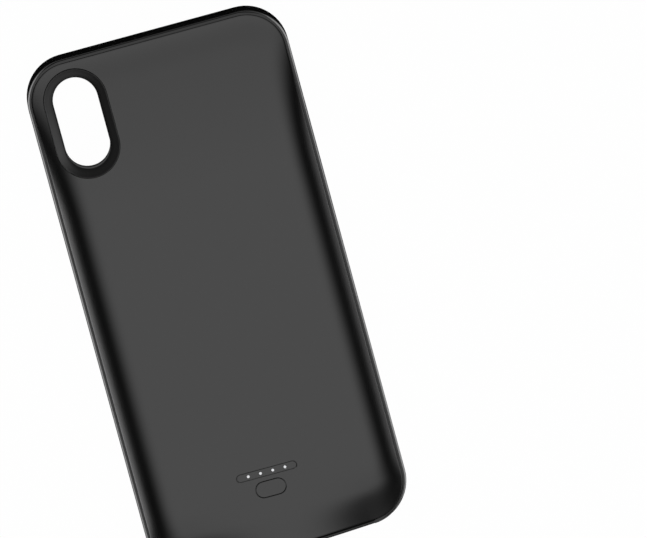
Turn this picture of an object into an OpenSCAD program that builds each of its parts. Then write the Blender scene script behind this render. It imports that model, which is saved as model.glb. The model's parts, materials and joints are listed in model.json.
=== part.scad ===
// Battery case for a phone: a slim shell with its own cell, a plug for the phone and a socket for a charger.
// It lies open side down on its front rim.
// X runs across the case, +Y points to the camera end and +Z out of the back.

/* [Phone] */
// Width of the phone that the case holds
phone_w = 70.9; // [66:0.1:76]
// Length of the phone
phone_l = 143.6; // [138:0.1:160]
// Thickness of the phone
phone_t = 7.7; // [7.2:0.1:9]
// Corner radius of the phone, seen from the back
phone_r = 10.5; // [8:0.1:11]
// Clearance between the phone and each wall
phone_gap = 0.1; // [0.05:0.05:0.4]

/* [Side frame] */
// Thickness of the wall at the sides and the top
wall_t = 3.05; // [2.9:0.05:3.8]
// Depth of the chin below the phone
chin_d = 7.9; // [7.6:0.05:11]
// Outer corner radius, seen from the back
corner_r = 12.5; // [12:0.1:15]
// Height of the lip in front of the phone
lip_t = 1.0; // [0.8:0.1:1.6]
// Reach of the lip over the phone's front
lip_in = 0.9; // [0.5:0.1:1.4]
// Distance of the seam from the outer face
seam_in = 1.05; // [0.9:0.05:1.3]
// Width of the seam between the frame and the back cover
seam_gap = 0.12; // [0.08:0.02:0.2]
// Radius of the frame's edge beside the seam
rim_r = 0.5; // [0.3:0.05:0.7]
// Radius of the frame's outer edge at the front
front_r = 0.8; // [0.4:0.1:0.9]

/* [Back cover] */
// Wall thickness of the back cover
cover_t = 1.0; // [0.8:0.05:1.3]
// Width of the cover's foot along the seam
foot_w = 1.1; // [0.9:0.05:1.4]
// Height of the back above the seam
crown_h = 4.8; // [4.6:0.1:7]
// Width of the rounded shoulder at the sides
shoulder_w = 10; // [7:0.5:11]
// Power of the shoulder's curve
shoulder_p = 2.5; // [2:0.1:3]
// Length over which the back rises from the top end
rise_l = 44; // [30:1:60]
// Power of the curve of that rise
rise_p = 1.5; // [1.2:0.1:2]
// Rise of the seam in the middle of the bottom end
arch_h = 4.5; // [4.4:0.1:4.6]
// Power of the arch's curve
arch_p = 1.2; // [1.1:0.1:2]

/* [Camera window] */
// Distance of the window's centre from the phone's side
cam_in = 10.75; // [10.2:0.05:12]
// Distance of the window's centre below the phone's top
cam_down = 16; // [15.8:0.1:20]
// Width of the window
cam_w = 13; // [11:0.1:13.4]
// Length of the window
cam_l = 26.3; // [22:0.1:26.6]
// Width of the bezel around the window
bezel_w = 2.7; // [2:0.1:2.8]
// Depth of the bezel's slope towards the window
bezel_dip = 1.2; // [0.5:0.1:1.5]
// Height of the bezel above the back
bezel_up = 0.15; // [0.05:0.05:0.4]

/* [Charge display] */
// Distance of the light slot above the phone's lower end
slot_up = 15.95; // [15:0.05:18]
// Length of the light slot
slot_l = 17.6; // [15:0.1:20]
// Width of the light slot
slot_w = 2.2; // [1.8:0.1:2.6]
// Depth of the light slot
slot_d = 0.45; // [0.3:0.05:0.6]
// Diameter of each light
light_d = 1.05; // [0.8:0.05:1.4]
// Distance between two lights
light_pitch = 3.65; // [3:0.05:4]
// Distance of the button's centre below the light slot
button_down = 4.8; // [4.6:0.1:5]
// Length of the hole for the button
button_l = 9.2; // [8:0.1:10]
// Width of the hole for the button
button_w = 5; // [4.4:0.1:5.2]
// Gap round the button
button_gap = 0.35; // [0.2:0.05:0.45]

/* [Side keys] */
// Distance of the mute switch's window below the phone's top
mute_down = 21.95; // [20:0.1:24]
// Length of the mute switch's window
mute_l = 12; // [10:0.1:13]
// Height of the mute switch's window
mute_h = 5.6; // [4.6:0.1:6]
// Distance of the volume up key below the mute switch's window
vol_step = 15.25; // [14.5:0.05:17]
// Distance between the two volume keys
vol_pitch = 14; // [13.4:0.1:16]
// Distance of the side key below the phone's top
side_key_down = 44; // [40:0.1:48]
// Length of a volume key
vol_key_l = 9.6; // [8:0.1:11]
// Length of the side key
side_key_l = 17; // [12:0.1:20]
// Height of each key
key_h = 3; // [2.4:0.1:3.4]
// Travel of each key and of the button
travel = 0.4; // [0.2:0.05:0.4]

/* [Inside] */
// Thickness of the tray behind the phone
tray_t = 0.7; // [0.6:0.05:1]
// Width of the battery cell
cell_w = 57; // [40:0.5:58]
// Distance of the battery cell from the camera window's bezel
cell_room = 5.6; // [4:0.1:12]
// Thickness of the battery cell
cell_t = 3.9; // [3:0.1:4]
// Width of the main board
board_w = 50; // [48:0.5:54]
// Length of the main board
board_l = 19.5; // [19:0.1:20.5]
// Thickness of the main board
board_t = 0.8; // [0.6:0.05:0.9]
// Length of the plug's tongue
plug_l = 6.8; // [6:0.1:7.4]
// Width of the plug's tongue
plug_w = 6.7; // [6:0.1:7.2]
// Thickness of the plug's tongue
plug_t = 1.5; // [1.3:0.1:1.8]
// Width of the charging socket
socket_w = 8.9; // [8:0.1:9.4]
// Height of the charging socket
socket_h = 3.1; // [2.8:0.1:3.2]
// Depth of the charging socket in the board's notch
socket_sink = 0.4; // [0.3:0.05:0.8]
// Length of the charging socket
socket_l = 7.2; // [6.6:0.1:7.6]

/* [Hidden] */
$fn = 64;

// Overlap that makes a cut or a joint of one piece clean, and the reach of a cut past a face
eps = 0.05;
over = 1;

// Bay and outer size
bay_w = phone_w + 2 * phone_gap;
bay_l = phone_l + 2 * phone_gap;
bay_r = phone_r + phone_gap;
body_w = bay_w + 2 * wall_t;
body_l = bay_l + wall_t + chin_d;
end_y = body_l / 2;
bay_top = end_y - wall_t;
bay_low = chin_d - end_y;
bay_mid = (bay_top + bay_low) / 2;
phone_z = lip_t + phone_t / 2;

// Levels from the front rim up
ceil_z = lip_t + phone_t + phone_gap;
tray_z = ceil_z + tray_t;
rim_z = tray_z + cover_t;
top_z = rim_z + crown_h;
roof_z = top_z - cover_t;

// Outline of the back cover, inside the seam
cover_x = body_w / 2 - seam_in - seam_gap;
cover_y = body_l / 2 - seam_in - seam_gap;
cover_r = corner_r - seam_in - seam_gap;
cover_cx = cover_x - cover_r;
cover_cy = cover_y - cover_r;
shoulder = min(shoulder_w, cover_r - foot_w - 0.2);
flat_y = cover_y - rise_l;

// Numbers of steps along the cover's curves
ring_steps = 9;
corner_steps = 8;
rise_steps = 8;
arch_steps = 12;

// Camera window
cam_x = cam_in - bay_w / 2;
cam_y = bay_top - cam_down;
cam_half = (cam_l - cam_w) / 2;
bezel_gap = 0.1;
bezel_lip = 0.5;
bezel_steps = 12;

// Charge display
slot_y = bay_low + slot_up;
button_y = slot_y - button_down;
slot_floor = top_z - slot_d;
flange_out = 0.7;
flange_t = 1.1;
flange_gap = 0.2;
stem_r = 1.2;
guide_over = 1.5;
guide_w = 1.6;
guide_gap = 0.1;

// Keys
key_gap = 0.2;
key_flange = 0.9;
key_skin = 1.4;
key_flange_t = 0.8;
key_face = 0.05;
key_catch = 0.1;
key_nub = 0.3;
key_nub_share = 0.6;
mute_y = bay_top - mute_down;
vol_up_y = mute_y - vol_step;
vol_down_y = vol_up_y - vol_pitch;
side_key_y = bay_top - side_key_down;
scoop_d = 0.25;
scoop_steps = 200;

// Main board and what it carries
boss_h = 0.6;
board_z = tray_z + boss_h;
chip_z = board_z + board_t;
board_low = bay_low + 2.85;
board_high = board_low + board_l;
tail_w = 16;
tail_low = wall_t + 0.4 - end_y;
screw_r = 0.6;
screw_gap = 0.05;
screw_head_r = 1.25;
screw_head_t = 0.7;
screw_slot_l = 1.4;
screw_slot_w = 0.3;
boss_r = 2;
screw_at = [
    [board_w / 2 - 4, board_high - 3],
    [4 - board_w / 2, board_high - 3],
    [board_w / 2 - 12, board_low + 2.6]
];
switch_t = 1.3;
switch_w = 4.2;
switch_l = 3.2;
plunger_r = 0.75;
plunger_up = 0.5;
plunger_in = 0.55;
plunger_gap = 0.1;
led_w = 1.6;
led_l = 0.8;
led_t = 0.6;
chip_shift = 2;
coil_w = 6;
coil_r = 1.5;
coil_t = 2.4;
cap_w = 0.8;
cap_l = 1.6;
cap_in = 4;
cap_down = 4.5;
cap_pitch = 2.2;
cap_step = 2.4;

// Cell
tape_t = 0.1;
cell_z = tray_z + tape_t;
board_room = 2;
cell_low = board_high + board_room;
cell_high = cam_y - cam_l / 2 - bezel_w - cell_room;
cell_l = cell_high - cell_low;
cell_mid = (cell_low + cell_high) / 2;
cell_r = 2;
pouch_step = 0.5;
tape_w = 10;
tape_short = 12;
tab_t = 0.15;
tab_w = 4;
tab_x = 11;
rib_t = 1;
rib_h = 1.6;
rib_gap = 0.3;
rib_x = cell_w / 2 + rib_gap + rib_t / 2;
end_rib_w = cell_w * 0.6;
tab_lap = 1.5;

// Chin
pocket_w = 15;
pocket_low = 1.8 - end_y;
nose_t = 1.5;
pocket_high = bay_low - nose_t;
pocket_z = 1.8;
base_w = 12;
base_h = 4.6;
base_gap = 0.1;
nose_w = 9.4;
nose_h = 3.8;
sound_r = 0.9;
sound_count = 4;
sound_x = 13;
sound_pitch = 3.5;
contact_w = 0.4;
contact_l = 2.4;
contact_t = 0.06;
contact_pitch = 0.72;
contact_low = bay_low + plug_l - contact_l - 1;
socket_in = 0.25;
socket_wall = 0.3;
socket_gap = 0.1;
socket_z = chip_z + socket_h / 2 - socket_sink;
socket_low = socket_in - end_y;
notch_w = socket_w + 2 * socket_gap;
notch_high = socket_low + socket_l + socket_gap;
socket_tab_w = 1.2;
socket_tab_l = 1;
socket_tab_t = 0.3;
socket_tab_at = [4.4, 6];
socket_tongue_in = 1;
socket_tongue_w = socket_w * 0.72;
socket_tongue_t = 0.7;
flex_w = 6;
flex_t = 0.2;
flex_in = 3;

// Height of the arch of the bottom seam at x
function arch(x) = abs(x) < cover_cx ? arch_h * pow(1 - pow(x / cover_cx, 2), arch_p) : 0;

// Places along the bottom seam where the arch has a corner
function arch_x(k) = cover_cx * (2 * k / arch_steps - 1);

// Height of the middle of the back at y
function back_z(y) = rim_z + crown_h * (1 - pow(max(0, 1 - (cover_y - y) / rise_l), rise_p));

// Share of the crown's height at the share t of the shoulder
function round_off(t) = 1 - pow(1 - min(max(t, 0), 1), shoulder_p);

// Height of the seam beside a point, given the nearest point of the outline
function seam_z(p) = rim_z + (p.y < 0 ? arch(p.x) : 0);

// Corner part of a point, and its distance inside the cover's outline
function corner_part(x, y) = [max(abs(x) - cover_cx, 0), max(abs(y) - cover_cy, 0)];
function inside(x, y) =
    min(cover_x - abs(x), cover_y - abs(y), cover_r - norm(corner_part(x, y)));

// Height of the back above any point, away from the bottom end
function cover_z(x, y) = rim_z + (back_z(y) - rim_z) * round_off(inside(x, y) / shoulder);

// Stations round the outline: a centre and a normal each, counter-clockwise from the bottom right corner
function corner_run(sx, sy, from) = [
    for (k = [0 : corner_steps]) [sx * cover_cx, sy * cover_cy, from + 90 * k / corner_steps]
];
function side_y(k) = flat_y + (cover_cy - flat_y) * k / rise_steps;
stations = [
    each corner_run(1, -1, -90),
    for (k = [0 : rise_steps - 1]) [cover_cx, side_y(k), 0],
    each corner_run(1, 1, 0),
    each corner_run(-1, 1, 90),
    for (k = [rise_steps - 1 : -1 : 0]) [-cover_cx, side_y(k), 180],
    each corner_run(-1, -1, 180),
    for (k = [1 : arch_steps - 1]) [arch_x(k), -cover_cy, 270]
];
station_count = len(stations);
first_rise = corner_steps + 1;
rise_count = rise_steps + corner_steps;
last_rise = first_rise + 2 * rise_count + 1;

// Point of station s at the distance d inside the outline
function at(s, d) = [s[0] + (cover_r - d) * cos(s[2]), s[1] + (cover_r - d) * sin(s[2])];

// Point of the back, or of its inner face, at the share t of the shoulder
function shell_point(s, foot, drop, t) =
    let (p = at(s, foot + t * shoulder), z = seam_z(at(s, 0)))
    [p.x, p.y, z - drop + (back_z(p.y) - z) * round_off(t)];
function shell_ring(foot, drop, t) = [for (s = stations) shell_point(s, foot, drop, t)];

// Stations round the camera window: a centre, and the angle of the normal, counter-clockwise
bezel_stations = [
    for (k = [0 : bezel_steps]) [cam_x, cam_y + cam_half, 180 * k / bezel_steps],
    for (k = [1 : 3]) [cam_x, cam_y + cam_half * (1 - k / 2), 180],
    for (k = [0 : bezel_steps]) [cam_x, cam_y - cam_half, 180 + 180 * k / bezel_steps],
    for (k = [1 : 3]) [cam_x, cam_y + cam_half * (k / 2 - 1), 360]
];
function bezel_point(s, e) =
    [s[0] + (cam_w / 2 + e) * cos(s[2]), s[1] + (cam_w / 2 + e) * sin(s[2])];
function on_back(p, up) = [p.x, p.y, cover_z(p.x, p.y) + up];
function on_tray(p) = [p.x, p.y, tray_z];

// Faces between two rings of n points, and the flat and rising parts inside the last ring
function band(a, b, n) = [
    for (k = [0 : n - 1])
    let (m = (k + 1) % n)
    each [[a + k, b + k, b + m], [a + k, b + m, a + m]]
];
function cap(a, centre) = [
    for (k = [0 : rise_count - 1])
    let (r = a + first_rise + k, l = a + last_rise - k)
    each [[r, l - 1, r + 1], [r, l, l - 1]],
    for (k = [last_rise : last_rise + station_count - rise_count * 2 - 2])
    [a + k % station_count, centre, a + (k + 1) % station_count],
    [a + last_rise, a + first_rise, centre]
];
function turned(faces) = [for (f = faces) [f[2], f[1], f[0]]];

module cover_shell() {
    outer = [for (k = [0 : ring_steps]) each shell_ring(0, 0, k / ring_steps)];
    inner = [for (k = [0 : ring_steps]) each shell_ring(foot_w, cover_t, k / ring_steps)];
    foot = shell_ring(0, cover_t, 0);
    centre_y = (flat_y - cover_y) / 2;
    n = station_count;
    inner_at = (ring_steps + 1) * n;
    foot_at = 2 * inner_at;
    points = concat(outer, inner, foot, [[0, centre_y, top_z], [0, centre_y, roof_z]]);
    faces = concat(
        [for (k = [0 : ring_steps - 1]) each band(k * n, (k + 1) * n, n)],
        cap(ring_steps * n, foot_at + n),
        turned([for (k = [0 : ring_steps - 1]) each band(inner_at + k * n, inner_at + (k + 1) * n, n)]),
        turned(cap(inner_at + ring_steps * n, foot_at + n + 1)),
        turned(band(foot_at, inner_at, n)),
        band(foot_at, 0, n)
    );
    polyhedron(points, faces);
}

// Plain shapes
module rounded_rect(w, l, r) {
    square([w - 2 * r, l], center = true);
    square([w, l - 2 * r], center = true);
    for (sx = [-1, 1], sy = [-1, 1])
        translate([sx * (w / 2 - r), sy * (l / 2 - r)]) circle(r);
}
module obround(w, l) {
    square([w, l - w], center = true);
    for (s = [-1, 1])
        translate([0, s * (l - w) / 2]) circle(d = w);
}
module inset_outline(d) {
    rounded_rect(body_w - 2 * d, body_l - 2 * d, corner_r - d);
}
module slab(low, high) {
    translate([0, 0, low]) linear_extrude(high - low) children();
}

// A section swept round the outer face: its x is the distance inside that face
module swept_round() {
    cx = body_w / 2 - corner_r;
    cy = body_l / 2 - corner_r;
    for (s = [0, 1])
        mirror([s, 0, 0]) translate([body_w / 2, cy, 0]) rotate([90, 0, 0])
            linear_extrude(2 * cy) mirror([1, 0]) children();
    for (s = [0, 1])
        mirror([0, s, 0]) translate([-cx, body_l / 2, 0]) rotate([90, 0, 90])
            linear_extrude(2 * cx) mirror([1, 0]) children();
    for (sx = [0, 1], sy = [0, 1])
        mirror([sx, 0, 0]) mirror([0, sy, 0]) translate([cx, cy, 0])
            rotate_extrude(angle = 90) translate([corner_r, 0]) mirror([1, 0]) children();
}
module rim_section() {
    translate([front_r, 0]) square([seam_in - front_r, front_r + eps]);
    translate([0, front_r]) square([seam_in, rim_z - rim_r - front_r]);
    translate([rim_r, rim_z - rim_r - eps]) square([seam_in - rim_r, rim_r + eps]);
    translate([front_r, front_r]) circle(front_r);
    translate([rim_r, rim_z - rim_r]) circle(rim_r);
}

// Space under the arch of the bottom seam, lifted by the given height
module under_arch(lift, depth) {
    translate([0, depth - end_y, 0]) rotate([90, 0, 0]) linear_extrude(depth)
        polygon([
            [-body_w / 2, 0],
            [-body_w / 2, rim_z + lift],
            for (k = [0 : arch_steps]) [arch_x(k), rim_z + lift + arch(arch_x(k))],
            [body_w / 2, rim_z + lift],
            [body_w / 2, 0]
        ]);
}

// Hole or piece across a side wall: spans from one depth inside the outer face to another
module across_wall(side, y, from, to, w, h) {
    translate([side * (body_w / 2 - to), y, phone_z]) rotate([0, side * 90, 0])
        linear_extrude(to - from) obround(h, w);
}
module key_hole(side, y, l) {
    across_wall(side, y, -over, key_skin + eps, l + 2 * key_gap, key_h + 2 * key_gap);
    across_wall(side, y, key_skin, wall_t + over,
        l + 2 * key_flange + 2 * key_gap, key_h + 2 * key_flange + 2 * key_gap);
}
module key(side, y, l) {
    catch_at = key_skin + key_catch;
    across_wall(side, y, key_face, catch_at + eps, l, key_h);
    across_wall(side, y, catch_at, catch_at + key_flange_t, l + 2 * key_flange, key_h + 2 * key_flange);
    across_wall(side, y, catch_at + key_flange_t - eps, catch_at + key_flange_t + key_nub,
        l * key_nub_share, key_h * key_nub_share);
}
module mute_window() {
    translate([body_w / 2 - wall_t - over, mute_y, phone_z]) rotate([0, 90, 0])
        linear_extrude(wall_t + 2 * over) obround(mute_h, mute_l);
    scoop_r = (pow(mute_l / 2, 2) + pow(scoop_d, 2)) / (2 * scoop_d);
    translate([body_w / 2 - scoop_d + scoop_r, mute_y, front_r])
        cylinder(r = scoop_r, h = rim_z, $fn = scoop_steps);
}

module chin_cuts() {
    translate([-pocket_w / 2, pocket_low, pocket_z]) cube([pocket_w, pocket_high - pocket_low, top_z]);
    translate([0, bay_low + over, phone_z]) rotate([90, 0, 0])
        linear_extrude(nose_t + over + eps) obround_flat(nose_w + 2 * base_gap, nose_h + 2 * base_gap);
    translate([0, pocket_low + over, socket_z]) rotate([90, 0, 0])
        linear_extrude(wall_t + 2 * over) obround_flat(socket_w + 2 * socket_gap, socket_h + 2 * socket_gap);
    for (s = [-1, 1], k = [0 : sound_count - 1])
        translate([s * (sound_x + k * sound_pitch), bay_low + over, phone_z]) rotate([90, 0, 0])
            cylinder(r = sound_r, h = chin_d + 2 * over);
}
module obround_flat(w, h) {
    rotate(90) obround(h, w);
}

module side_frame() {
    color([0.09, 0.09, 0.095]) difference() {
        union() {
            swept_round() rim_section();
            slab(0, ceil_z) inset_outline(seam_in - eps);
            intersection() {
                slab(ceil_z - eps, top_z) inset_outline(0);
                under_arch(0, seam_in);
            }
            intersection() {
                slab(ceil_z - eps, top_z) inset_outline(seam_in / 2);
                under_arch(-cover_t, wall_t);
            }
        }
        translate([0, bay_mid]) slab(lip_t, ceil_z + over) rounded_rect(bay_w, bay_l, bay_r);
        translate([0, bay_mid]) slab(-over, lip_t + eps)
            rounded_rect(bay_w - 2 * lip_in, bay_l - 2 * lip_in, bay_r - lip_in);
        chin_cuts();
        key_hole(1, vol_up_y, vol_key_l);
        key_hole(1, vol_down_y, vol_key_l);
        key_hole(-1, side_key_y, side_key_l);
        mute_window();
    }
}

module back_cover() {
    color([0.075, 0.075, 0.08]) difference() {
        cover_shell();
        translate([cam_x, cam_y]) slab(ceil_z, top_z + over)
            obround(cam_w + 2 * bezel_w + 2 * bezel_gap, cam_l + 2 * bezel_w + 2 * bezel_gap);
        translate([0, slot_y]) slab(slot_floor, top_z + over) obround_flat(slot_l, slot_w);
        for (k = [-1.5 : 1.5])
            translate([k * light_pitch, slot_y]) slab(ceil_z, top_z) circle(d = light_d);
        translate([0, button_y]) slab(ceil_z, top_z + over) obround_flat(button_l, button_w);
    }
}

module inner_tray() {
    tray_low = bay_low - nose_t / 2;
    color([0.13, 0.13, 0.135]) difference() {
        union() {
            intersection() {
                slab(ceil_z, tray_z) rounded_rect(2 * cover_x, 2 * cover_y, cover_r);
                translate([-cover_x, tray_low, ceil_z]) cube([2 * cover_x, 2 * cover_y, 2 * tray_t]);
            }
            for (p = screw_at)
                translate([p.x, p.y]) slab(tray_z - eps, board_z) circle(boss_r);
            for (s = [-1, 1])
                translate([s * rib_x, cell_mid]) slab(tray_z - eps, tray_z + rib_h)
                    square([rib_t, cell_l], center = true);
            translate([0, cell_high + rib_gap + rib_t / 2]) slab(tray_z - eps, tray_z + rib_h)
                square([end_rib_w, rib_t], center = true);
        }
        translate([cam_x, cam_y]) slab(ceil_z - over, top_z) obround(cam_w, cam_l);
        for (p = screw_at)
            translate([p.x, p.y]) slab(ceil_z + tray_t / 2, top_z) circle(screw_r + screw_gap);
    }
}

module camera_bezel() {
    s = bezel_stations;
    n = len(s);
    points = [
        for (q = s) on_tray(bezel_point(q, 0)),
        for (q = s) on_back(bezel_point(q, 0), -bezel_dip),
        for (q = s) on_back(bezel_point(q, bezel_w - bezel_lip), bezel_up),
        for (q = s) on_back(bezel_point(q, bezel_w), 0),
        for (q = s) on_tray(bezel_point(q, bezel_w))
    ];
    color([0.06, 0.06, 0.065])
        polyhedron(points, turned([for (k = [0 : 4]) each band(k * n, (k + 1) % 5 * n, n)]));
}

module check_button() {
    l = button_l - 2 * button_gap;
    w = button_w - 2 * button_gap;
    flange_top = roof_z - flange_gap;
    stem_z = chip_z + switch_t + plunger_up;
    color([0.075, 0.075, 0.08]) translate([0, button_y]) {
        slab(flange_top - eps, top_z) obround_flat(l, w);
        slab(flange_top - flange_t, flange_top) obround_flat(l + 2 * flange_out, w + 2 * flange_out);
        slab(stem_z, flange_top - flange_t + eps) circle(stem_r);
    }
}

module light_guide() {
    color([0.95, 0.95, 0.95]) translate([0, slot_y]) {
        slab(chip_z + led_t + guide_gap, roof_z)
            square([3 * light_pitch + 2 * guide_over, guide_w], center = true);
        for (k = [-1.5 : 1.5])
            translate([k * light_pitch, 0]) slab(roof_z - eps, slot_floor) circle(d = light_d - guide_gap);
    }
}

module volume_up_key() {
    color([0.09, 0.09, 0.095]) key(1, vol_up_y, vol_key_l);
}
module volume_down_key() {
    color([0.09, 0.09, 0.095]) key(1, vol_down_y, vol_key_l);
}
module side_key() {
    color([0.09, 0.09, 0.095]) key(-1, side_key_y, side_key_l);
}

// Plug for the phone, and its socket for the charger
module plug_tongue() {
    color([0.75, 0.75, 0.77]) translate([0, bay_low + plug_l, phone_z]) rotate([90, 0, 0])
        linear_extrude(plug_l - base_gap) obround_flat(plug_w, plug_t);
}
module plug_contacts() {
    color([0.85, 0.7, 0.35]) for (s = [0, 1], k = [-3.5 : 3.5])
        translate([k * contact_pitch - contact_w / 2, contact_low, phone_z]) mirror([0, 0, s])
            translate([0, 0, plug_t / 2]) cube([contact_w, contact_l, contact_t]);
}
module plug_base() {
    color([0.2, 0.2, 0.21]) {
        translate([-base_w / 2, pocket_low + base_gap, phone_z - base_h / 2])
            cube([base_w, pocket_high - pocket_low - 2 * base_gap, base_h]);
        translate([0, bay_low, phone_z]) rotate([90, 0, 0])
            linear_extrude(nose_t + 2 * base_gap) obround_flat(nose_w, nose_h);
    }
}
module plug_flex() {
    color([0.75, 0.45, 0.15])
        translate([-flex_w / 2, pocket_low + flex_in, phone_z + base_h / 2])
            cube([flex_w, flex_t, board_z - phone_z - base_h / 2]);
}
module charge_socket() {
    color([0.7, 0.7, 0.72]) {
        translate([0, socket_low + socket_l, socket_z]) rotate([90, 0, 0]) difference() {
            linear_extrude(socket_l) obround_flat(socket_w, socket_h);
            translate([0, 0, socket_wall]) linear_extrude(socket_l)
                obround_flat(socket_w - 2 * socket_wall, socket_h - 2 * socket_wall);
        }
        for (s = [0, 1], y = socket_tab_at)
            mirror([s, 0, 0]) translate([socket_w / 2 - socket_wall, socket_low + y, chip_z])
                cube([socket_tab_w + socket_wall, socket_tab_l, socket_tab_t]);
    }
}
module socket_tongue() {
    color([0.12, 0.12, 0.13])
        translate([-socket_tongue_w / 2, socket_low + socket_tongue_in, socket_z - socket_tongue_t / 2])
            cube([socket_tongue_w, socket_l - socket_tongue_in - socket_wall, socket_tongue_t]);
}

// Main board with its parts
module main_board() {
    color([0.05, 0.3, 0.16]) difference() {
        union() {
            translate([-board_w / 2, board_low, board_z]) cube([board_w, board_l, board_t]);
            translate([-tail_w / 2, tail_low, board_z]) cube([tail_w, board_low - tail_low + eps, board_t]);
        }
        translate([-notch_w / 2, notch_high - socket_l, board_z - eps])
            cube([notch_w, socket_l, board_t + 2 * eps]);
        for (p = screw_at)
            translate([p.x, p.y]) slab(board_z - over, chip_z + over) circle(screw_r + 2 * screw_gap);
    }
}
module tact_switch() {
    color([0.7, 0.7, 0.72]) translate([0, button_y]) difference() {
        slab(chip_z, chip_z + switch_t) square([switch_w, switch_l], center = true);
        slab(chip_z + switch_t - plunger_in - travel - eps, top_z) circle(plunger_r + plunger_gap);
    }
}
module switch_plunger() {
    color([0.9, 0.9, 0.88]) translate([0, button_y])
        slab(chip_z + switch_t - plunger_in, chip_z + switch_t + plunger_up) circle(plunger_r);
}
module led(k) {
    color([1, 1, 0.95]) translate([(k - 2.5) * light_pitch, slot_y])
        slab(chip_z, chip_z + led_t) square([led_w, led_l], center = true);
}
module chip(x, y, w, t) {
    color([0.08, 0.08, 0.08]) translate([x, y]) slab(chip_z, chip_z + t) square(w, center = true);
}
module charge_chip() {
    chip(-board_w / 4 - chip_shift, slot_y - chip_shift, 4, 0.9);
}
module boost_chip() {
    chip(-board_w / 4 + chip_shift, button_y - chip_shift, 3, 0.8);
}
module power_inductor() {
    color([0.25, 0.25, 0.26]) translate([board_w / 4, button_y])
        slab(chip_z, chip_z + coil_t) rounded_rect(coil_w, coil_w, coil_r);
}
module capacitors() {
    color([0.6, 0.5, 0.38]) for (k = [0 : 3])
        translate([k * cap_pitch + cap_in - board_w / 2, button_y - cap_down + k % 2 * cap_step])
            slab(chip_z, chip_z + cap_w) square([cap_w, cap_l], center = true);
}
module board_screw(k) {
    color([0.7, 0.7, 0.72]) translate([screw_at[k - 1].x, screw_at[k - 1].y]) difference() {
        union() {
            slab(ceil_z + tray_t / 2 + screw_gap, chip_z + eps) circle(screw_r);
            slab(chip_z, chip_z + screw_head_t) circle(screw_head_r);
        }
        for (a = [0, 90])
            rotate(a) slab(chip_z + screw_head_t / 2, chip_z + over)
                square([screw_slot_l, screw_slot_w], center = true);
    }
}

// Cell with its tape and tabs
module battery_cell() {
    color([0.62, 0.63, 0.65]) translate([0, cell_mid]) {
        slab(cell_z, cell_z + cell_t - pouch_step) rounded_rect(cell_w, cell_l, cell_r);
        slab(cell_z + cell_t - pouch_step - eps, cell_z + cell_t)
            rounded_rect(cell_w - 2 * pouch_step, cell_l - 2 * pouch_step, cell_r - pouch_step);
    }
}
module cell_tape() {
    color([0.9, 0.9, 0.85]) for (s = [-1, 1])
        translate([s * cell_w / 4, cell_mid]) slab(tray_z, cell_z)
            square([tape_w, cell_l - tape_short], center = true);
}
module cell_tab(side) {
    color([0.78, 0.77, 0.72]) translate([side * tab_x - tab_w / 2, board_high - tab_lap, chip_z])
        cube([tab_w, board_room + tab_lap, tab_t]);
}

side_frame();
back_cover();
inner_tray();
camera_bezel();
check_button();
light_guide();
volume_up_key();
volume_down_key();
side_key();
plug_tongue();
plug_contacts();
plug_base();
plug_flex();
charge_socket();
socket_tongue();
main_board();
tact_switch();
switch_plunger();
led(1);  // led_1
led(2);  // led_2
led(3);  // led_3
led(4);  // led_4
charge_chip();
boost_chip();
power_inductor();
capacitors();
board_screw(1);  // board_screw_1
board_screw(2);  // board_screw_2
board_screw(3);  // board_screw_3
battery_cell();
cell_tape();
cell_tab(1);  // cell_tab_plus
cell_tab(-1);  // cell_tab_minus
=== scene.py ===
import json
import math
from functools import partial

import bmesh
import bpy
from bmesh.types import BMEdge, BMFace, BMVert
from mathutils import Matrix, Vector


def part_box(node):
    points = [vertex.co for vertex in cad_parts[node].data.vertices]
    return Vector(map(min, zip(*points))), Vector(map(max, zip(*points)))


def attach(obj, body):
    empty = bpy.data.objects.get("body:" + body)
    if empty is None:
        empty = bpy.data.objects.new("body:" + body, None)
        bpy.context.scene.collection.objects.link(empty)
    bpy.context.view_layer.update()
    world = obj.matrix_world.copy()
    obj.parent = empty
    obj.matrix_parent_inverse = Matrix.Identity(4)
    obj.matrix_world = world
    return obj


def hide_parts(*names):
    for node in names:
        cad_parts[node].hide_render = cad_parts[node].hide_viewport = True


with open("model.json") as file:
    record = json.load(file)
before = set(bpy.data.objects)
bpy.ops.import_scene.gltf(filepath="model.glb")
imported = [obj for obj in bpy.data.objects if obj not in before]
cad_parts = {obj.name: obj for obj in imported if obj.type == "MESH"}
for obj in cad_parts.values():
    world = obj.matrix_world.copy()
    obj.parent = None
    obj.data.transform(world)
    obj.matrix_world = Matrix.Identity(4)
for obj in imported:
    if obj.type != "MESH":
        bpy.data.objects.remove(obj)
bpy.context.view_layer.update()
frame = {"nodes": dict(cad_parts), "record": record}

MM = 0.001

# The photograph's frame, and where the case lies in it
PHOTO_W = 647
PIXELS_PER_MM = 3.478
CASE_AT = (217.4, 290.9)
PHOTO_CENTRE = (323.5, 269.0)
TURN = math.radians(15.2)
TILT = math.radians(10.5)
CAMERA_AWAY = 4.1
CLIP_END = 50.0
SENSOR = 36.0

# Brightness of the studio's sky by the angle from straight up, across and along the case
SKY_LEVEL = 1.8
SKY_ACROSS = ((-61, 0.0), (-6, 1.0), (18, 1.0), (71, 0.0))
SKY_ALONG = ((-85, 0.14), (-60, 0.2), (-13, 1.0), (-6, 1.0), (9, 0.88), (60, 0.0))

# The pale horizon: its height, its brightness in the middle, and how that falls from left to right
HORIZON_HIGH = 0.1
HORIZON_LEVEL = 0.7
HORIZON_FALL = -0.35

# The floor: half its width, its place under the case, how white the camera sees it, and its tones; the
# dark tone is painted shade, seen only in the case's shine
FLOOR_HALF = 6.0
FLOOR_UNDER = 0.1 * MM
FLOOR_WHITE = 0.985
FLOOR_PALE = 0.8
FLOOR_DARK = 0.01

# A shiny wall mirrors the floor as a painted dark reflection up to the first distance, and white from
# the second one
DARK_TO = 11.0 * MM
BRIGHT_FROM = 19.0 * MM

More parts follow.
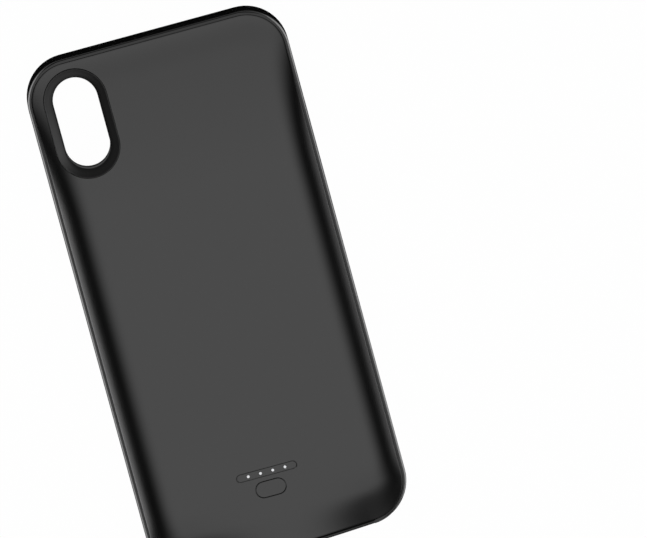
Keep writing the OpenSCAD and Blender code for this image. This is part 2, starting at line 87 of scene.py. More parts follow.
# The floor's lit patch under the camera window is twice as wide as it, and longer at each end by
PATCH_MORE = 4.0 * MM

# Glowing strips in the table: each one's start beside the case and its level, their ends along
# the case, and their height
LEFT_STRIPS = ((0.0435, 1.0), (0.0455, 2.2), (0.0475, 3.4), (0.062, 1.2), (0.35, 0.0))
RIGHT_STRIPS = ((0.042, 1.0), (0.044, 1.8), (0.046, 2.4), (0.06, 0.0))
LEFT_SPAN = (-0.13, 0.1)
RIGHT_SPAN = (-0.1, 0.085)
STRIP_HIGH = 0.4 * MM

# Sizes that the solids give
COVER_LOW, COVER_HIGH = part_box("back_cover")
TRAY_TOP = COVER_LOW.z
BACK_TOP = COVER_HIGH.z
BEZEL_LOW, BEZEL_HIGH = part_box("camera_bezel")
BUTTON_LOW, BUTTON_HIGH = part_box("check_button")
GUIDE_LOW, GUIDE_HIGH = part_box("light_guide")
FRAME_LOW, FRAME_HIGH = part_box("side_frame")

# The back's walls and outline
COVER_WALL = 1.0 * MM
FOOT = 1.1 * MM
CORNER = 11.33 * MM
RIM = TRAY_TOP + COVER_WALL
STRAIGHT_X = COVER_HIGH.x - CORNER
STRAIGHT_Y = COVER_HIGH.y - CORNER

# The back's form: its shoulders, wider and plainer at the bottom end, and its fall to that end
SHOULDER = 10.0 * MM
SHOULDER_POWER = 2.5
WIDER = 1.0 * MM
PLAINER = 0.5
END_REACH = 19.5 * MM
END_SHARE = 0.5

# Its rise from the top end, and the seam's arch at the bottom end
RISE = 44.0 * MM
RISE_POWER = 1.5
ARCH = 4.5 * MM
ARCH_POWER = 1.2

# The side frame: how far its outline lies outside the seam, its rolled rim and the arch's edge
SEAM_IN = 1.05 * MM
SEAM_DEEP = 0.55 * MM
FRAME_CORNER = FRAME_HIGH.x - STRAIGHT_X
ROLL = 4.5 * MM
ARCH_EDGE = 0.45 * MM

# Camera window
BEZEL_CENTRE = (BEZEL_LOW + BEZEL_HIGH) / 2
BEZEL_WIDTH = 2.7 * MM
WINDOW_W = (BEZEL_HIGH.x - BEZEL_LOW.x) - 2 * BEZEL_WIDTH
WINDOW_L = (BEZEL_HIGH.y - BEZEL_LOW.y) - 2 * BEZEL_WIDTH
BEZEL_GAP = 0.1 * MM

# The bezel's section in millimetres: distance outside the window, then height above the back,
# or None for the tray's height
BEZEL_SECTION = (
    (0.0, None), (0.0, -1.45), (0.12, -1.25), (0.4, -1.05), (1.3, -0.55), (2.2, -0.08),
    (2.4, 0.05), (2.52, 0.1), (2.64, 0.06), (2.7, -0.06), (2.7, -1.0), (2.7, None),
)

# Light slot
SLOT_Y = (GUIDE_LOW.y + GUIDE_HIGH.y) / 2
SLOT_L = 17.6 * MM
SLOT_W = 2.2 * MM
SLOT_DEPTH = 0.45 * MM
SLOT_LOW_SIDE = 0.3 * MM
CHAMFER = 0.24 * MM
SEAM_EDGE = 0.12 * MM
LIGHTS = 4
LIGHT_D = 0.9 * MM
LIGHT_PITCH = 3.65 * MM
PIN_SHARE = 0.82
PIN_TIP = 0.1 * MM

# Check button
BUTTON_Y = (BUTTON_LOW.y + BUTTON_HIGH.y) / 2
BUTTON_HOLE_L = 9.2 * MM
BUTTON_HOLE_W = 5.0 * MM
BUTTON_GAP = 0.35 * MM
BUTTON_EDGE = 0.12 * MM
FLANGE_CLEAR = 0.3 * MM
FINE_GAP = 0.2 * MM

# How close counts as the same place, and the angle in radians past which an edge is a corner
TINY = 0.01 * MM
MERGE = 0.001 * MM
COPY_MERGE = 0.002 * MM
CORNER_ANGLE = 1.0
OUTLINE_ANGLE = 0.4

# Degrees between faces that count as one flat face, and past which the shading is sharp
ONE_FLAT = 0.3
SHARP = 30.0
BACK_SHARP = 60.0
BEZEL_SHARP = 40.0
BUTTON_SHARP = 25.0

# Fineness of the back's mesh: steps round a corner, along a side and along the bottom end,
# rings, how far its strips and lines go past the rise and the fall, and its flat face's least area
CORNER_STEPS = 16
SIDE_CUTS = 59
END_CUTS = 39
RINGS = 22
STRIPS_PAST = 2.3 * MM
LINES_PAST = 2.0 * MM
FLAT_AREA = 100.0 * MM ** 2

# Fineness of the bezel and of the holes, and how far a cutter goes past a wall
BEZEL_STEPS = 24
BEZEL_CUTS = 11
HOLE_STEPS = 20
WINDOW_STEPS = 32
LIGHT_STEPS = 8
PAST_WALL = 1.0 * MM

# Grain of the finishes
GRAIN_DETAIL = 3.0
PATCH_SCALE = 45.0
PATCH_DETAIL = 2.0
BUMP_STRENGTH = 0.5


# Form of the back

def inset(x, y, high=COVER_HIGH, corner=CORNER):
    """How far a point lies inside a round-cornered outline: the back's, or one round it."""
    across, along = max(abs(x) - STRAIGHT_X, 0), max(abs(y) - STRAIGHT_Y, 0)
    return min(high.x - abs(x), high.y - abs(y), corner - math.hypot(across, along))


def arch(x):
    """Rise of the seam at the bottom end."""
    return ARCH * (1 - (x / STRAIGHT_X) ** 2) ** ARCH_POWER if abs(x) < STRAIGHT_X else 0.0


def middle_height(y):
    """Height of the back's middle, which rises from the top end."""
    t = max(0.0, 1 - (COVER_HIGH.y - y) / RISE)
    return RIM + (BACK_TOP - RIM) * (1 - t ** RISE_POWER)


def back_height(x, y):
    """Height of the back above any point: shoulders all round, and a long fall to the bottom end."""
    seam = RIM + (arch(x) if y < 0 else 0.0)
    low = min(max(1 - (COVER_HIGH.y + y) / END_REACH, 0.0), 1.0)
    plain = low * low * (3 - 2 * low)
    t = min(max(inset(x, y) / (SHOULDER + WIDER * plain), 0.0), 1.0)
    share = (1 - (1 - t) ** (SHOULDER_POWER - PLAINER * plain)) * (1 - END_SHARE * low ** 2)
    return seam + (middle_height(y) - seam) * share


# Tools for meshes

def finish_piece(bm, name, sharp=SHARP):
    """Turns a bmesh into an object with smooth faces and sharp edges past an angle."""
    mesh = bpy.data.meshes.new(name)
    bm.to_mesh(mesh)
    bm.free()
    mesh.shade_smooth()
    mesh.set_sharp_from_angle(angle=math.radians(sharp))
    piece = bpy.data.objects.new(name, mesh)
    bpy.context.scene.collection.objects.link(piece)
    return piece


def only(made, kind):
    """The parts of one kind in what an operator made."""
    return [g for g in made["geom"] if isinstance(g, kind)]


def around(faces):
    """Faces with their edges and corners, as the cutting operators take them."""
    return faces + list({e for f in faces for e in f.edges}) + list({v for f in faces for v in f.verts})


def rounded_plate(bm, w, l, r, steps, centre=(0.0, 0.0), z=0.0):
    """One flat face with round corners; returns it."""
    made = bmesh.ops.create_grid(bm, x_segments=1, y_segments=1, size=0.5)
    verts = made["verts"]
    bmesh.ops.scale(bm, vec=(w, l, 1), verts=verts)
    bmesh.ops.translate(bm, vec=(centre[0], centre[1], z), verts=verts)
    bmesh.ops.bevel(bm, geom=verts, offset=r, offset_type="OFFSET", segments=steps, profile=0.5,
                    affect="VERTICES", material=-1, clamp_overlap=False)
    bmesh.ops.remove_doubles(bm, verts=bm.verts, dist=MERGE)
    bm.faces.ensure_lookup_table()
    return bm.faces[-1]


def obround_cutter(w, l, centre, low, high, steps=HOLE_STEPS):
    """A closed upright bar with round ends, which cuts a hole."""
    bm = bmesh.new()
    face = rounded_plate(bm, w, l, min(w, l) / 2, steps, centre, low)
    made = bmesh.ops.extrude_face_region(bm, geom=[face])
    bmesh.ops.translate(bm, vec=(0, 0, high - low), verts=only(made, BMVert))
    bmesh.ops.recalc_face_normals(bm, faces=bm.faces)
    return finish_piece(bm, "cutter")


def cut(piece, cutters):
    """Cuts the cutters out of a piece and applies the result."""
    for cutter in cutters:
        boolean = piece.modifiers.new("cut", "BOOLEAN")
        boolean.operation = "DIFFERENCE"
        boolean.solver = "EXACT"
        boolean.object = cutter
    bpy.context.view_layer.update()
    graph = bpy.context.evaluated_depsgraph_get()
    mesh = bpy.data.meshes.new_from_object(piece.evaluated_get(graph))
    piece.modifiers.clear()
    old = piece.data
    piece.data = mesh
    bpy.data.meshes.remove(old)
    for cutter in cutters:
        bpy.data.objects.remove(cutter)


def soften(piece, is_edge, width, segments=2, sharp=SHARP, clamp=True):
    """Bevels the edges that a test picks, then shades the piece smooth."""
    bm = bmesh.new()
    bm.from_mesh(piece.data)
    bmesh.ops.remove_doubles(bm, verts=bm.verts, dist=MERGE)
    edges = [e for e in bm.edges if len(e.link_faces) == 2 and is_edge(e)]
    bmesh.ops.bevel(bm, geom=edges, offset=width, offset_type="OFFSET", segments=segments, profile=0.5,
                    affect="EDGES", material=-1, clamp_overlap=clamp)
    bm.to_mesh(piece.data)
    bm.free()
    piece.data.shade_smooth()
    piece.data.set_sharp_from_angle(angle=math.radians(sharp))


def smooth_copy(node, name, body):
    """A merged, smoothly shaded copy of a solid, which stands for it."""
    bm = bmesh.new()
    bm.from_mesh(frame["nodes"][node].data)
    bmesh.ops.remove_doubles(bm, verts=bm.verts, dist=COPY_MERGE)
    bmesh.ops.dissolve_limit(bm, angle_limit=math.radians(ONE_FLAT), verts=bm.verts, edges=bm.edges)
    piece = finish_piece(bm, name)
    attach(piece, body)
    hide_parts(node)
    return piece


# The back

def back_outline(bm):
    """The back's outline as one flat face with fine steps along its sides and bottom end."""
    rounded_plate(bm, 2 * COVER_HIGH.x, 2 * COVER_HIGH.y, CORNER, CORNER_STEPS)
    sides = [e for e in bm.edges if abs(abs(e.verts[0].co.x) - COVER_HIGH.x) < TINY
             and abs(abs(e.verts[1].co.x) - COVER_HIGH.x) < TINY]
    bmesh.ops.bisect_edges(bm, edges=sides, cuts=SIDE_CUTS)
    low = [e for e in bm.edges if abs(e.verts[0].co.y + COVER_HIGH.y) < TINY
           and abs(e.verts[1].co.y + COVER_HIGH.y) < TINY]
    bmesh.ops.bisect_edges(bm, edges=low, cuts=END_CUTS)
    bm.faces.ensure_lookup_table()
    return bm.faces[0]


def on_last_ring(e):
    """True for an edge whose ends lie the shoulder's width inside the outline."""
    return all(inset(v.co.x, v.co.y) >= SHOULDER + WIDER - 10 * TINY for v in e.verts)


def back_rings(bm, face):
    """Rings inset from the outline, strips over the rise and one flat face; returns the last ring."""
    for _ in range(RINGS):
        bmesh.ops.inset_region(bm, faces=[face], thickness=(SHOULDER + WIDER) / RINGS,
                               use_even_offset=True, use_boundary=True)
    loop = list(face.edges)
    bmesh.ops.delete(bm, geom=[face], context="FACES_ONLY")
    strips_from = COVER_HIGH.y - RISE - STRIPS_PAST
    rising = [e for e in loop if min(v.co.y for v in e.verts) > strips_from
              and e.verts[0].co.x * e.verts[1].co.x > 0]
    bmesh.ops.bridge_loops(bm, edges=rising)
    rest = [e for e in bm.edges if len(e.link_faces) == 1 and on_last_ring(e)]
    bmesh.ops.holes_fill(bm, edges=rest, sides=0)
    return {v for e in rest for v in e.verts}


def fall_lines(bm, ring):
    """Lines between the last ring's points, where the flat face falls to the bottom end."""
    lines_to = -COVER_HIGH.y + END_REACH + LINES_PAST
    points = [v.co.copy() for v in ring if v.co.y < lines_to]
    steps_y = sorted({round(at.y, 6) for at in points if at.x > STRAIGHT_X and at.y > -STRAIGHT_Y})
    steps_x = sorted({round(at.x, 6) for at in points
                      if abs(at.x) < STRAIGHT_X - MM and at.y < -STRAIGHT_Y})
    geom = around([f for f in bm.faces if f.calc_area() > FLAT_AREA])
    for y in steps_y:
        made = bmesh.ops.bisect_plane(bm, geom=geom, dist=TINY, plane_co=(0, y, 0), plane_no=(0, 1, 0))
        geom = made["geom"]
    geom = around([f for f in only(made, BMFace) if f.calc_center_median().y < max(steps_y)])
    for x in steps_x:
        made = bmesh.ops.bisect_plane(bm, geom=geom, dist=TINY, plane_co=(x, 0, 0), plane_no=(1, 0, 0))
        geom = made["geom"]


def back_wall(bm):
    """Closes the back with an inner face, drawn in by the foot and lowered by the wall."""
    outline = [e for e in bm.edges if len(e.link_faces) == 1]
    inner = bmesh.ops.duplicate(bm, geom=list(bm.verts) + list(bm.edges) + list(bm.faces))
    inner_verts = only(inner, BMVert)
    inner_faces = only(inner, BMFace)
    bmesh.ops.scale(bm, verts=inner_verts,
                    vec=((COVER_HIGH.x - FOOT) / COVER_HIGH.x, (COVER_HIGH.y - FOOT) / COVER_HIGH.y, 1))
    bmesh.ops.translate(bm, verts=inner_verts, vec=(0, 0, -COVER_WALL))
    bmesh.ops.reverse_faces(bm, faces=inner_faces)
    inner_outline = [e for f in inner_faces for e in f.edges if len(e.link_faces) == 1]
    foot = bmesh.ops.extrude_edge_only(bm, edges=outline)
    bmesh.ops.translate(bm, verts=only(foot, BMVert), vec=(0, 0, -COVER_WALL))
    bmesh.ops.bridge_loops(bm, edges=only(foot, BMEdge) + list(set(inner_outline)))
    bmesh.ops.recalc_face_normals(bm, faces=bm.faces)


def back_openings(piece):
    """Cuts the camera window, the light slot with its light holes, and the button's hole."""
    over = BACK_TOP + PAST_WALL
    under = TRAY_TOP - PAST_WALL
    hole_w = WINDOW_W + 2 * (BEZEL_WIDTH + BEZEL_GAP)
    hole_l = WINDOW_L + 2 * (BEZEL_WIDTH + BEZEL_GAP)
    cutters = [
        obround_cutter(hole_w, hole_l, BEZEL_CENTRE.xy, under, over, WINDOW_STEPS),
        obround_cutter(SLOT_L, SLOT_W, (0.0, SLOT_Y), BACK_TOP - SLOT_DEPTH, over),
        obround_cutter(BUTTON_HOLE_L, BUTTON_HOLE_W, (0.0, BUTTON_Y), under, over),
    ]
    for k in range(LIGHTS):
        at = ((k - (LIGHTS - 1) / 2) * LIGHT_PITCH, SLOT_Y)
        cutters.append(obround_cutter(LIGHT_D, LIGHT_D, at, under, over, LIGHT_STEPS))
    cut(piece, cutters)


def on_outline(e):
    """True for an edge of the back's outline that lies at the top of its foot."""
    for v in e.verts:
        if inset(v.co.x, v.co.y) > 2 * TINY or v.co.z < back_height(v.co.x, v.co.y) - TINY:
            return False
    return e.calc_face_angle(0) > OUTLINE_ANGLE


def on_slot_mouth(e):
    """True for an edge of the slot in the back's face, but not for its low side."""
    low_side = SLOT_Y - SLOT_W / 2 + SLOT_LOW_SIDE
    for v in e.verts:
        if abs(v.co.z - BACK_TOP) >= TINY or not low_side < v.co.y < SLOT_Y + SLOT_W:
            return False
    return e.calc_face_angle(0) > CORNER_ANGLE


def back_skin():
    """The satin back: a moulded sheet with its wall, its openings and its soft edges."""
    bm = bmesh.new()
    ring = back_rings(bm, back_outline(bm))
    fall_lines(bm, ring)
    for v in bm.verts:
        v.co.z = back_height(v.co.x, v.co.y)
    back_wall(bm)
    piece = finish_piece(bm, "back_skin", BACK_SHARP)
    back_openings(piece)
    soften(piece, on_outline, SEAM_EDGE)
    soften(piece, on_slot_mouth, CHAMFER, 1, clamp=False)
    # The slot's chamfer is made half as deep as it is wide
    for v in piece.data.vertices:
        if (abs(v.co.z - (BACK_TOP - CHAMFER)) < TINY and abs(v.co.x) < SLOT_L / 2 + CHAMFER
                and abs(v.co.y - SLOT_Y) < SLOT_W / 2 + CHAMFER):
            v.co.z = BACK_TOP - CHAMFER / 2
    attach(piece, "case")
    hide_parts("back_cover")
    return piece


# The other pieces

def bezel_ring():
    """The camera window's bezel: loops drawn out from the window and laid on the back."""
    half = (WINDOW_L - WINDOW_W) / 2
    centre = BEZEL_CENTRE
    bm = bmesh.new()
    face = rounded_plate(bm, WINDOW_W, WINDOW_L, WINDOW_W / 2, BEZEL_STEPS, centre.xy)
    tall = [e for e in face.edges if e.calc_length() > half]
    bmesh.ops.bisect_edges(bm, edges=tall, cuts=BEZEL_CUTS)
    bm.faces.ensure_lookup_table()
    loop = list(bm.faces[0].edges)
    verts = list(bm.faces[0].verts)
    bmesh.ops.delete(bm, geom=[bm.faces[0]], context="FACES_ONLY")

    def place(ring, out, up):
        """Moves a loop to its distance outside the window and its height above the back."""
        for v in ring:
            base = Vector((centre.x, centre.y + min(max(v.co.y - centre.y, -half), half)))
            normal = (v.co.xy - base).normalized()
            at = base + normal * (WINDOW_W / 2 + out * MM)
            z = TRAY_TOP if up is None else back_height(at.x, at.y) + up * MM
            v.co = Vector((at.x, at.y, z))

    place(verts, *BEZEL_SECTION[0])
    first = loop
    for out, up in BEZEL_SECTION[1:]:
        made = bmesh.ops.extrude_edge_only(bm, edges=loop)
        loop = only(made, BMEdge)
        place(only(made, BMVert), out, up)
    bmesh.ops.bridge_loops(bm, edges=first + loop)
    bmesh.ops.recalc_face_normals(bm, faces=bm.faces)
    piece = finish_piece(bm, "bezel_ring", BEZEL_SHARP)
    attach(piece, "case")
    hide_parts("camera_bezel")
    return piece


def on_arch(e):
    """True for an edge where the frame's end face meets the top of the arch."""
    for v in e.verts:
        if abs(v.co.y - FRAME_LOW.y) >= 2 * TINY or v.co.z <= RIM - 10 * TINY:
            return False
    return e.calc_face_angle(0) > CORNER_ANGLE


def frame_skin():
    """The glossy side frame: its rim rolls over at the sides, and its arch has a round edge."""
    piece = smooth_copy("side_frame", "frame_skin", "case")
    reach = math.sqrt(ROLL ** 2 - (ROLL - SEAM_IN) ** 2)
    for v in piece.data.vertices:
        x, y, z = v.co
        part = Vector((max(abs(x) - STRAIGHT_X, 0), max(abs(y) - STRAIGHT_Y, 0)))
        inside = inset(x, y, FRAME_HIGH, FRAME_CORNER)
        if RIM - SEAM_DEEP < z < RIM + TINY and inside < SEAM_IN - TINY and part.x > 0:
            side = part.x / part.length
            drop = reach - math.sqrt(ROLL ** 2 - (ROLL - max(inside, 0)) ** 2)
            v.co.z = RIM - side * drop - (1 - side) * (RIM - z)
    soften(piece, on_arch, ARCH_EDGE, 3)
    return piece


def on_button_top(e):
    """True for an edge round the check button's top."""
    return (all(abs(v.co.z - BUTTON_HIGH.z) < TINY for v in e.verts)
            and e.calc_face_angle(0) > CORNER_ANGLE)


def button_cap():
    """The check button with a soft edge round its top and a fine gap round it."""
    piece = smooth_copy("check_button", "button_cap", "button")
    half = (BUTTON_HOLE_L - BUTTON_HOLE_W) / 2
    for v in piece.data.vertices:
        if v.co.z > BUTTON_HIGH.z - COVER_WALL - FLANGE_CLEAR:
            out = Vector((v.co.x, v.co.y - BUTTON_Y))
            out.x -= min(max(out.x, -half), half)
            v.co.xy += out.normalized() * (BUTTON_GAP - FINE_GAP)
    soften(piece, on_button_top, BUTTON_EDGE, sharp=BUTTON_SHARP)
    return piece


def light_pins():
    """The light guide, whose four pins end in the slot as fine points of light."""
    piece = smooth_copy("light_guide", "light_pins", "case")
    for v in piece.data.vertices:
        if v.co.z > GUIDE_HIGH.z - PIN_TIP:
            k = round(v.co.x / LIGHT_PITCH - 0.5) + 0.5
            axis = Vector((k * LIGHT_PITCH, SLOT_Y))
            v.co.xy = axis + (v.co.xy - axis) * PIN_SHARE
    return piece


# Materials

def grain_group():
    """Fine moulded grain: a height, and a slow change of finish over the surface."""
    group = bpy.data.node_groups.new("moulded_grain", "ShaderNodeTree")
    face = group.interface
    face.new_socket("Grain", in_out="INPUT", socket_type="NodeSocketFloat")
    face.new_socket("Height", in_out="OUTPUT", socket_type="NodeSocketFloat")
    face.new_socket("Patches", in_out="OUTPUT", socket_type="NodeSocketFloat")
    nodes, links = group.nodes, group.links
    start = nodes.new("NodeGroupInput")
    end = nodes.new("NodeGroupOutput")
    where = nodes.new("ShaderNodeTexCoord")
    fine = nodes.new("ShaderNodeTexNoise")
    fine.inputs["Detail"].default_value = GRAIN_DETAIL
    links.new(where.outputs["Object"], fine.inputs["Vector"])
    links.new(start.outputs["Grain"], fine.inputs["Scale"])
    links.new(fine.outputs["Fac"], end.inputs["Height"])
    slow = nodes.new("ShaderNodeTexNoise")
    slow.inputs["Scale"].default_value = PATCH_SCALE
    slow.inputs["Detail"].default_value = PATCH_DETAIL
    links.new(where.outputs["Object"], slow.inputs["Vector"])
    links.new(slow.outputs["Fac"], end.inputs["Patches"])
    return group


GRAIN = grain_group()


def finish(name, dark, light, rough, grain, bump=0.0, metallic=0.0, ior=1.5, glow=0.0):
    """A moulded or metal finish: two tones, a span of roughness, and a fine bump."""
    material = bpy.data.materials.new(name)
    material.use_nodes = True
    nodes, links = material.node_tree.nodes, material.node_tree.links
    shader = nodes["Principled BSDF"]
    shader.inputs["Metallic"].default_value = metallic
    shader.inputs["IOR"].default_value = ior
    made = nodes.new("ShaderNodeGroup")
    made.node_tree = GRAIN
    made.inputs["Grain"].default_value = grain
    tone = nodes.new("ShaderNodeMix")
    tone.data_type = "RGBA"
    tone.inputs["A"].default_value = (*dark, 1)
    tone.inputs["B"].default_value = (*light, 1)
    links.new(made.outputs["Patches"], tone.inputs["Factor"])
    links.new(tone.outputs["Result"], shader.inputs["Base Color"])
    span = nodes.new("ShaderNodeMapRange")
    span.inputs["To Min"].default_value = rough[0]
    span.inputs["To Max"].default_value = rough[1]
    links.new(made.outputs["Patches"], span.inputs["Value"])
    links.new(span.outputs["Result"], shader.inputs["Roughness"])
    if bump:
        relief = nodes.new("ShaderNodeBump")
        relief.inputs["Distance"].default_value = bump * MM
        relief.inputs["Strength"].default_value = BUMP_STRENGTH
        links.new(made.outputs["Height"], relief.inputs["Height"])
        links.new(relief.outputs["Normal"], shader.inputs["Normal"])
    if glow:
        shader.inputs["Emission Color"].default_value = (1, 1, 1, 1)
        shader.inputs["Emission Strength"].default_value = glow
    return material


def grey(v, tint=0.0):
    """A grey, or one with a little more blue."""
    return (v, v, v * (1 + tint))


# Each slot's material: its name, darker and lighter tone, roughness, grain and bump in millimetres
FINISHES = {
    "cover_plastic": finish("satin_back", grey(0.0022), grey(0.0036), (0.25, 0.28), 2600.0, 0.004),
    "frame_plastic": finish("polished_frame", grey(0.004), grey(0.006), (0.12, 0.17), 1500.0,
                            ior=1.37),
    "key_plastic": finish("polished_key", grey(0.005), grey(0.007), (0.14, 0.2), 1500.0),
    "bezel_plastic": finish("satin_bezel", grey(0.004), grey(0.006), (0.34, 0.4), 2600.0, 0.003),
    "tray_plastic": finish("matt_tray", grey(0.02), grey(0.026), (0.5, 0.6), 2200.0, 0.01),
    "light_plastic": finish("frosted_light", (0.85, 0.87, 0.9), (0.92, 0.94, 0.96), (0.3, 0.4), 2000.0,
                            glow=0.1),
    "plug_metal": finish("nickel_plate", grey(0.55), grey(0.64), (0.24, 0.32), 3000.0, 0.002,
                         metallic=1.0),
    "gold": finish("gold_plate", (0.8, 0.56, 0.2), (0.88, 0.66, 0.28), (0.22, 0.3), 3000.0,
                   metallic=1.0),
    "plug_plastic": finish("plug_moulding", grey(0.03), grey(0.04), (0.45, 0.55), 2000.0, 0.008),
    "flex_film": finish("amber_film", (0.5, 0.2, 0.03), (0.6, 0.26, 0.05), (0.3, 0.4), 1500.0),
    "chip_plastic": finish("chip_moulding", grey(0.015), grey(0.022), (0.5, 0.6), 3000.0, 0.01),
    "board_laminate": finish("board_lacquer", (0.01, 0.08, 0.03), (0.015, 0.12, 0.05), (0.3, 0.4),
                             1800.0, 0.004),
    "plunger_plastic": finish("plunger_moulding", (0.6, 0.58, 0.52), (0.68, 0.66, 0.6), (0.4, 0.5),
                              2000.0),
    "led_body": finish("led_casting", (0.85, 0.84, 0.72), (0.92, 0.91, 0.8), (0.2, 0.3), 2000.0),
    "ferrite": finish("ferrite_body", grey(0.04), grey(0.055), (0.55, 0.65), 2500.0, 0.01),
    "capacitor_ceramic": finish("capacitor_body", (0.38, 0.27, 0.15), (0.48, 0.35, 0.2), (0.4, 0.5),
                                2500.0),
    "screw_steel": finish("bright_steel", grey(0.5), grey(0.6), (0.25, 0.35), 2600.0, 0.003,
                          metallic=1.0),
    "cell_foil": finish("foil_pouch", grey(0.55, 0.03), grey(0.65, 0.03), (0.35, 0.45), 700.0, 0.02,
                        metallic=1.0),
    "tape": finish("tape_film", (0.74, 0.74, 0.7), (0.82, 0.82, 0.78), (0.4, 0.5), 1500.0),
    "tab_nickel": finish("rolled_nickel", (0.6, 0.58, 0.52), (0.68, 0.66, 0.6), (0.28, 0.36), 2400.0,
                         0.003, metallic=1.0),
}


def dress(piece, slot):
    """Gives a piece its finish."""
    piece.data.materials.clear()
    piece.data.materials.append(FINISHES[slot])


def copies():
    """Smooth copies of the other solids, each with its own finish."""
    record = frame["record"]
    slots = {s["node"]: s["material_slot"] for s in record["subparts"]}
    bodies = {n: b for b, nodes in record["behaviour"]["bodies"].items() for n in nodes}
    done = {"side_frame", "back_cover", "camera_bezel", "check_button", "light_guide"}
    for node in sorted(set(frame["nodes"]) - done):
        piece = smooth_copy(node, node + "_piece", bodies[node])
        dress(piece, slots[node])


# Tools for the studio's nodes

def number(nodes, links, operation, first, second):
    """A sum of two sockets or plain numbers."""
    node = nodes.new("ShaderNodeMath")
    node.operation = operation
    for socket, value in zip(node.inputs, (first, second)):
        if isinstance(value, (int, float)):
            socket.default_value = value
        else:
            links.new(value, socket)
    return node.outputs["Value"]


def soft_step(nodes, links, value, low, high, start=0.0, end=1.0):
    """The start up to a low value and the end past a high one, with a soft step between."""
    node = nodes.new("ShaderNodeMapRange")
    node.interpolation_type = "SMOOTHSTEP"
    node.inputs["From Min"].default_value = low
    node.inputs["From Max"].default_value = high
    node.inputs["To Min"].default_value = start
    node.inputs["To Max"].default_value = end
    links.new(value, node.inputs["Value"])
    return node.outputs["Result"]


def blend(nodes, links, share, first, second):
    """One shader, and another in place of a share of it."""
    mix = nodes.new("ShaderNodeMixShader")
    links.new(share, mix.inputs["Fac"])
    links.new(first, mix.inputs[1])
    links.new(second, mix.inputs[2])
    return mix.outputs["Shader"]


def soft_ramp(nodes, stops):
    """A ramp eased between stops, each an angle from straight up in degrees and a brightness."""
    ramp = nodes.new("ShaderNodeValToRGB")
    ramp.color_ramp.interpolation = "EASE"
    elements = ramp.color_ramp.elements
    while len(elements) < len(stops):
        elements.new(0.5)
    for element, (angle, level) in zip(elements, stops):
        element.position = (angle + 90) / 180
        element.color = (level, level, level, 1)
    return ramp


def inside_outline(nodes, links, where, centre, half_w, half_l, r):
    """1 inside a rectangle with round corners, 0 outside it."""
    value = where
    for operation, vector in (("SUBTRACT", (*centre, 0)), ("ABSOLUTE", None),
                              ("SUBTRACT", (half_w - r, half_l - r, 0)), ("MAXIMUM", (0, 0, 0)),
                              ("MULTIPLY", (1, 1, 0))):
        node = nodes.new("ShaderNodeVectorMath")
        node.operation = operation
        links.new(value, node.inputs[0])
        if vector is not None:
            node.inputs[1].default_value = vector
        value = node.outputs["Vector"]
    away = nodes.new("ShaderNodeVectorMath")
    away.operation = "LENGTH"
    links.new(value, away.inputs[0])
    return number(nodes, links, "LESS_THAN", away.outputs["Value"], r)


# Studio

def studio_world():
    """White for the camera; a soft sky above the case, a dark band round it and a pale horizon."""
    world = bpy.data.worlds.new("studio")
    bpy.context.scene.world = world
    world.use_nodes = True
    nodes, links = world.node_tree.nodes, world.node_tree.links
    nodes.clear()
    sums = partial(number, nodes, links)
    where = nodes.new("ShaderNodeTexCoord")
    split = nodes.new("ShaderNodeSeparateXYZ")
    links.new(where.outputs["Generated"], split.inputs["Vector"])
    x, y, z = split.outputs
    levels = []
    for side, stops in ((x, SKY_ACROSS), (y, SKY_ALONG)):
        turn = sums("ARCTAN2", side, z)
        share = sums("ADD", sums("DIVIDE", turn, math.pi), 0.5)
        ramp = soft_ramp(nodes, stops)
        links.new(share, ramp.inputs["Fac"])
        levels.append(ramp.outputs["Color"])
    sky = sums("MULTIPLY", sums("MULTIPLY", *levels), SKY_LEVEL)
    low = soft_step(nodes, links, z, 0.0, HORIZON_HIGH, 1.0, 0.0)
    pale = sums("ADD", sums("MULTIPLY", x, HORIZON_FALL), HORIZON_LEVEL)
    light = nodes.new("ShaderNodeBackground")
    links.new(sums("ADD", sky, sums("MULTIPLY", low, pale)), light.inputs["Strength"])
    light.inputs["Color"].default_value = (1, 1, 1, 1)
    white = nodes.new("ShaderNodeBackground")
    white.inputs["Color"].default_value = (1, 1, 1, 1)
    seen = nodes.new("ShaderNodeLightPath").outputs["Is Camera Ray"]
    out = nodes.new("ShaderNodeOutputWorld")
    shader = blend(nodes, links, seen, light.outputs["Background"], white.outputs["Background"])
    links.new(shader, out.inputs["Surface"])


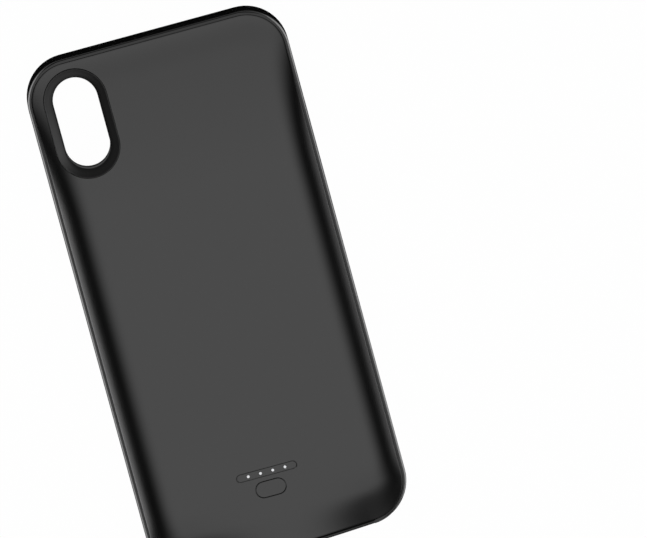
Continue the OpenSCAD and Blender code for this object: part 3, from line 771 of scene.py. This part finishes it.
def studio_floor():
    """A pale floor that the camera sees nearly white, with the case's shadow; it is clear from below."""
    bm = bmesh.new()
    bmesh.ops.create_grid(bm, x_segments=1, y_segments=1, size=FLOOR_HALF)
    bmesh.ops.translate(bm, vec=(0, 0, -FLOOR_UNDER), verts=bm.verts)
    floor = finish_piece(bm, "floor")
    material = bpy.data.materials.new("pale_floor")
    material.use_nodes = True
    nodes, links = material.node_tree.nodes, material.node_tree.links
    nodes.clear()
    sums = partial(number, nodes, links)

    # Pale for plain light; painted dark for the case's shine, so the case shows a painted dark
    # reflection of the floor near it in place of contact shade
    path = nodes.new("ShaderNodeLightPath")
    shade = nodes.new("ShaderNodeMix")
    shade.data_type = "RGBA"
    shade.inputs["A"].default_value = (*grey(FLOOR_PALE), 1)
    shade.inputs["B"].default_value = (*grey(FLOOR_DARK), 1)
    links.new(path.outputs["Is Glossy Ray"], shade.inputs["Factor"])
    plain = nodes.new("ShaderNodeBsdfDiffuse")
    links.new(shade.outputs["Result"], plain.inputs["Color"])

    # White for the camera, and for the case's shine away from the floor
    white = nodes.new("ShaderNodeEmission")
    white.inputs["Color"].default_value = (1, 1, 1, 1)
    far = soft_step(nodes, links, path.outputs["Ray Length"], DARK_TO, BRIGHT_FROM)
    glossy = sums("MULTIPLY", path.outputs["Is Glossy Ray"], far)
    seen = sums("MULTIPLY", sums("MAXIMUM", path.outputs["Is Camera Ray"], glossy), FLOOR_WHITE)
    top = blend(nodes, links, seen, plain.outputs["BSDF"], white.outputs["Emission"])

    # Clear from below, and under the case but for its camera window, so that its bay is lit
    where = nodes.new("ShaderNodeTexCoord").outputs["Object"]
    under_case = inside_outline(nodes, links, where, (0, 0), FRAME_HIGH.x, FRAME_HIGH.y, FRAME_CORNER)
    under_window = inside_outline(nodes, links, where, BEZEL_CENTRE.xy,
                                  WINDOW_W, WINDOW_L / 2 + PATCH_MORE, WINDOW_W)
    opened = sums("SUBTRACT", under_case, under_window)
    back = nodes.new("ShaderNodeNewGeometry").outputs["Backfacing"]
    clear = nodes.new("ShaderNodeBsdfTransparent")
    shader = blend(nodes, links, sums("MAXIMUM", opened, back), top, clear.outputs["BSDF"])
    out = nodes.new("ShaderNodeOutputMaterial")
    links.new(shader, out.inputs["Surface"])
    floor.data.materials.append(material)


def table_strip(x0, x1, y0, y1, radiance):
    """A lamp that lies flat in the table and shines up, for the case's shine only."""
    data = bpy.data.lights.new("table_strip", "AREA")
    data.shape = "RECTANGLE"
    data.size = abs(x1 - x0)
    data.size_y = y1 - y0
    data.energy = radiance * math.pi * data.size * data.size_y
    lamp = bpy.data.objects.new("table_strip", data)
    bpy.context.scene.collection.objects.link(lamp)
    middle = Vector(((x0 + x1) / 2, (y0 + y1) / 2, STRIP_HIGH))
    up = Vector((0, 0, 1)).to_track_quat("-Z", "Y").to_matrix().to_4x4()
    lamp.matrix_world = Matrix.Translation(middle) @ up
    lamp.visible_camera = False
    lamp.visible_diffuse = False


def studio_lights():
    """Strips in the table on each side, each from its start to the next one's, which draw the rim."""
    for side, span, strips in ((-1, LEFT_SPAN, LEFT_STRIPS), (1, RIGHT_SPAN, RIGHT_STRIPS)):
        for (x0, level), (x1, _) in zip(strips, strips[1:]):
            table_strip(side * x0, side * x1, *span, level)


def photo_camera():
    """A long lens that looks down on the case from the photograph's side."""
    toward = Vector((0, math.sin(TILT), math.cos(TILT)))
    right = Vector((1, 0, 0))
    up = toward.cross(right)
    image_up = up * math.cos(TURN) + right * math.sin(TURN)
    image_right = right * math.cos(TURN) - up * math.sin(TURN)
    pixel = MM / PIXELS_PER_MM
    aim = (Vector((0, 0, BACK_TOP / 2))
           + image_right * (PHOTO_CENTRE[0] - CASE_AT[0]) * pixel
           - image_up * (PHOTO_CENTRE[1] - CASE_AT[1]) * pixel)
    data = bpy.data.cameras.new("photo_camera")
    data.sensor_width = SENSOR
    data.lens = SENSOR * CAMERA_AWAY / (PHOTO_W * pixel)
    data.clip_end = CLIP_END
    camera = bpy.data.objects.new("photo_camera", data)
    bpy.context.scene.collection.objects.link(camera)
    turn = Matrix((image_right, image_up, toward)).transposed().to_4x4()
    camera.matrix_world = Matrix.Translation(aim + toward * CAMERA_AWAY) @ turn
    bpy.context.scene.camera = camera


photo_camera()
dress(back_skin(), "cover_plastic")
dress(bezel_ring(), "bezel_plastic")
dress(frame_skin(), "frame_plastic")
dress(button_cap(), "cover_plastic")
dress(light_pins(), "light_plastic")
copies()
studio_world()
studio_floor()
studio_lights()
bpy.context.scene.view_settings.view_transform = "Standard"
